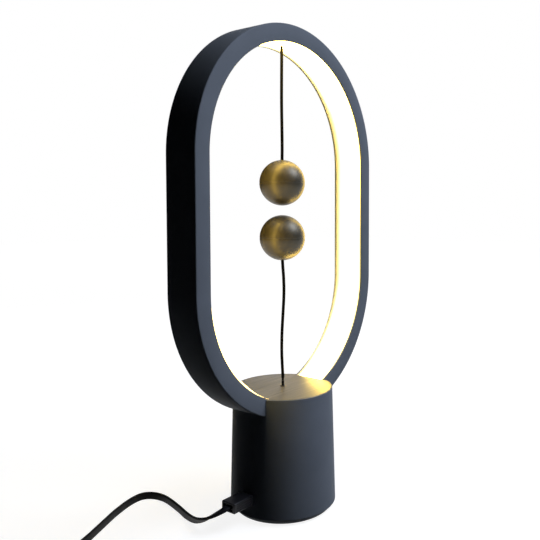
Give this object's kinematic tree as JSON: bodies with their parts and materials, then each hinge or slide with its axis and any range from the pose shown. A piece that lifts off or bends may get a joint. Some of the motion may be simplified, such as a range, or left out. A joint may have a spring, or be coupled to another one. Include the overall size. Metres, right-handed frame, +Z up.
{
  "type": "magnetic balance lamp",
  "caption": "Free-standing table lamp: an oval light ring on a drafted round base, with two magnetic balls on cords whose pull works the switch, and a flat power lead.",
  "frame": {"origin": "centre of the foot, on the surface that the lamp stands on", "axes": "+Z up through the top of the ring, +X to the right across the width of the ring seen from the front, -Y towards the front"},
  "size_m": [0.3709, 0.1644, 0.4],
  "materials": {
    "ring_plastic": "fine matt blue-grey",
    "diffuser": "milky, lit warm from behind",
    "strip": "white solder mask",
    "led": "yellow phosphor",
    "black_part": "satin",
    "inner_plastic": "moulded",
    "cord": "tight black weave",
    "steel": "plain",
    "base_plastic": "fine matt blue-grey",
    "disc": "satin with fine streaks",
    "foam": "matt",
    "iron": "rough",
    "board": "solder mask",
    "can": "satin",
    "tin": "plated",
    "wire_red": "plain",
    "wire_white": "plain",
    "wire_blue": "plain",
    "wire_black": "plain",
    "gold": "plated",
    "white_plastic": "moulded",
    "red_plastic": "moulded",
    "ball": "fine satin grey",
    "magnet": "plated",
    "lead_jacket": "satin",
    "grip": "fine grain"
  },
  "bodies": {
    "lamp": {"ring_shell": "ring_plastic", "ring_back_cover": "ring_plastic", "diffuser": "diffuser", "led_strip": "strip", "leds": "led", "strip_resistors": "black_part", "anchor_block": "inner_plastic", "upper_cord_root": "cord", "arm_blocks": "inner_plastic", "arm_screws": "steel", "ring_cradle": "inner_plastic", "cradle_screws": "steel", "base_housing": "base_plastic", "top_disc": "disc", "cord_eyelet": "black_part", "base_plate": "inner_plastic", "plate_screws": "steel", "foot_pad": "foam", "ballast": "iron", "driver_board": "board", "driver_chip": "black_part", "driver_coil": "black_part", "capacitors": "can", "board_screws": "steel", "usb_socket": "tin", "usb_socket_tongue": "black_part", "led_wire_red": "wire_red", "led_wire_black": "wire_black", "switch_wire_white": "wire_white", "switch_wire_blue": "wire_blue", "switch_guide": "white_plastic", "guide_screws": "steel", "switch_body": "black_part", "switch_terminals": "gold", "switch_pins": "steel", "return_spring": "steel"},
    "pull": {"pull_slider": "white_plastic", "pull_cord": "cord"},
    "lever": {"switch_lever": "steel"},
    "plunger": {"switch_plunger": "red_plastic"},
    "lower_bend": {"lower_cord_bend": "cord"},
    "lower_ball": {"lower_cord": "cord", "lower_ball_cord_half": "ball", "lower_ball_magnet_half": "ball", "lower_magnet": "magnet"},
    "upper_bend": {"upper_cord_bend": "cord"},
    "upper_ball": {"upper_cord": "cord", "upper_ball_cord_half": "ball", "upper_ball_magnet_half": "ball", "upper_magnet": "magnet"},
    "lead": {"plug_grip": "grip", "plug_shell": "tin", "lead_cord": "lead_jacket", "lead_coil": "lead_jacket", "lead_tail": "lead_jacket", "coil_tie": "grip", "usb_a_grip": "grip", "usb_a_shell": "tin", "usb_a_tongue": "white_plastic"}
  },
  "joints": [
    {"name": "cord_pull", "type": "slide", "parent": "lamp", "child": "pull", "axis": [0, 0, 1], "range_m": [-0.004, 0], "stiffness_N_per_m": 150, "springref_m": 0.004, "deforming": ["return_spring"]},
    {"name": "lower_tilt_front", "type": "hinge", "parent": "pull", "child": "lower_bend", "pos_m": [0, 0, 0.1068], "axis": [1, 0, 0], "range_deg": [-85, 85], "stiffness_Nm_per_rad": 0.1},
    {"name": "lower_tilt_side", "type": "hinge", "parent": "lower_bend", "child": "lower_ball", "pos_m": [0, 0, 0.1068], "axis": [0, 1, 0], "range_deg": [-38, 38], "stiffness_Nm_per_rad": 0.1},
    {"name": "upper_swing_front", "type": "hinge", "parent": "lamp", "child": "upper_bend", "pos_m": [0, 0, 0.3848], "axis": [1, 0, 0], "range_deg": [-80, 80]},
    {"name": "upper_swing_side", "type": "hinge", "parent": "upper_bend", "child": "upper_ball", "pos_m": [0, 0, 0.3848], "axis": [0, 1, 0], "range_deg": [-41, 41]},
    {"name": "lever_turn", "type": "hinge", "parent": "lamp", "child": "lever", "pos_m": [-0.0055, 0, 0.0673], "axis": [0, 1, 0], "range_deg": [0, 20.86]},
    {"name": "plunger_press", "type": "slide", "parent": "lamp", "child": "plunger", "axis": [0, 0, 1], "range_m": [-0.00141, 0]},
    {"name": "lead_unplug", "type": "slide", "parent": "lamp", "child": "lead", "axis": [-1, 0, 0], "range_m": [0, 0.008]}
  ],
  "couplings": [
    {"joint": "lever_turn", "follows": "cord_pull", "rad_per_m": -90.98},
    {"joint": "plunger_press", "follows": "cord_pull", "ratio": 0.35}
  ]
}
